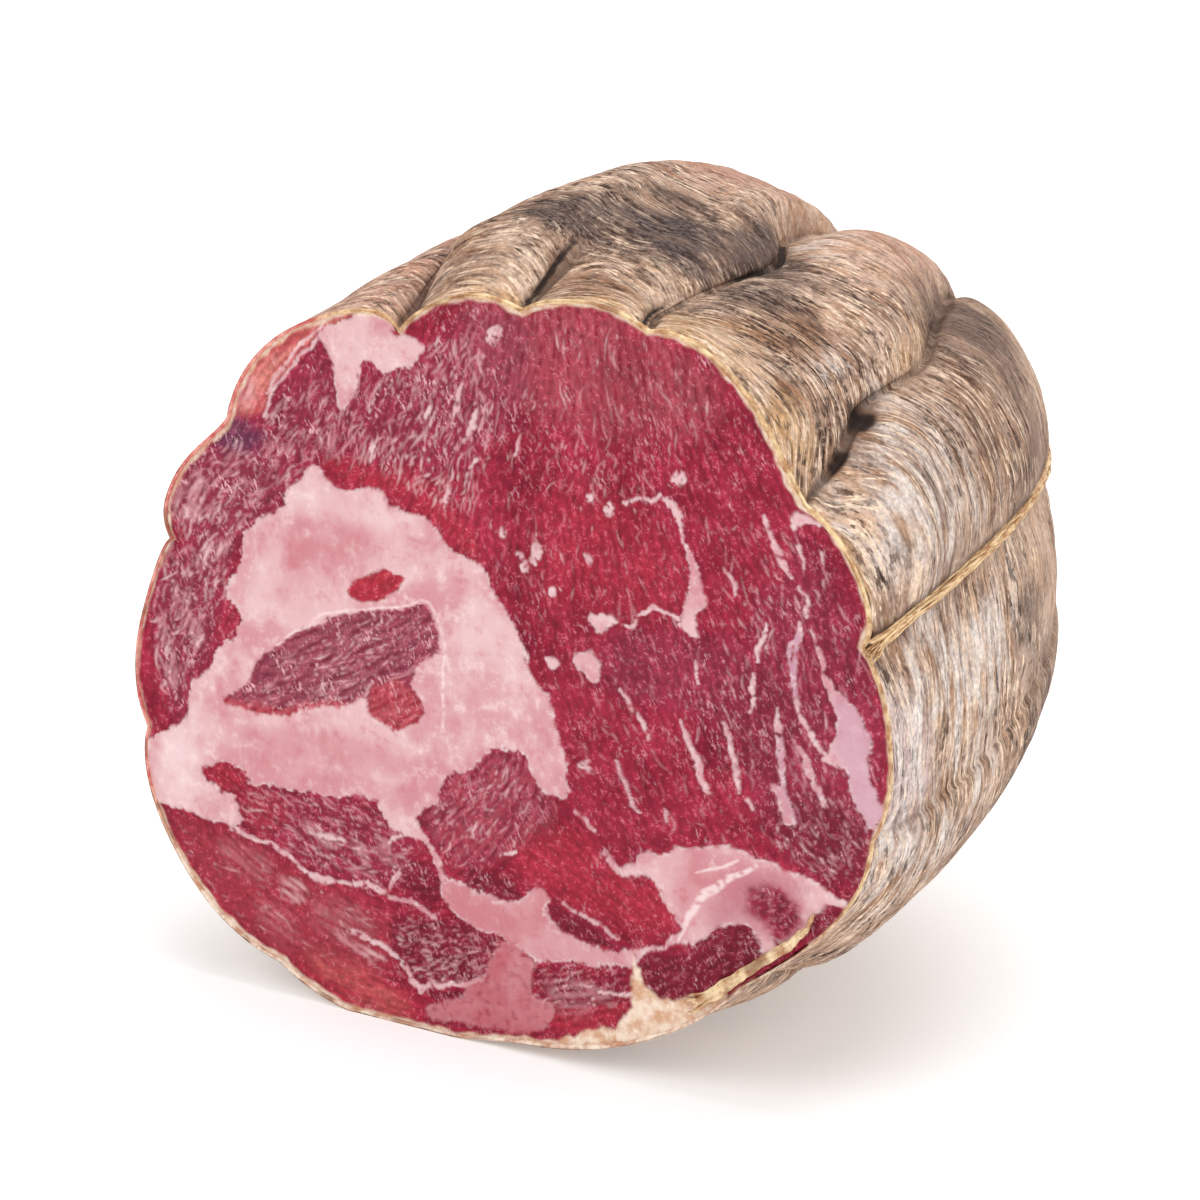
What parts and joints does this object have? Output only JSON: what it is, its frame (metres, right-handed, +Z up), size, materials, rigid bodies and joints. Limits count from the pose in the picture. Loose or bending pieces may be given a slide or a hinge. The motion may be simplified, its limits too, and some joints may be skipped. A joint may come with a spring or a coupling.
{
  "type": "cut coppa",
  "caption": "Closed end of a cured pork neck in a lobed casing, cut across to show marbled meat, with a lengthwise tie; lies on a small flat.",
  "frame": {"origin": "middle of the bounding box, at the level of the surface it lies on", "axes": "+Z up; the cut face looks along -Y; the body runs back along +Y to its closed end"},
  "size_m": [0.1182, 0.0954, 0.1119],
  "materials": {
    "casing": "dry natural casing, grey-beige with pale bloom, over meat",
    "cut_meat": "moist crimson lean with pale pink fat",
    "twine": "undyed golden fibre"
  },
  "bodies": {
    "root": {"coppa": "casing", "twine": "twine"}
  },
  "joints": []
}
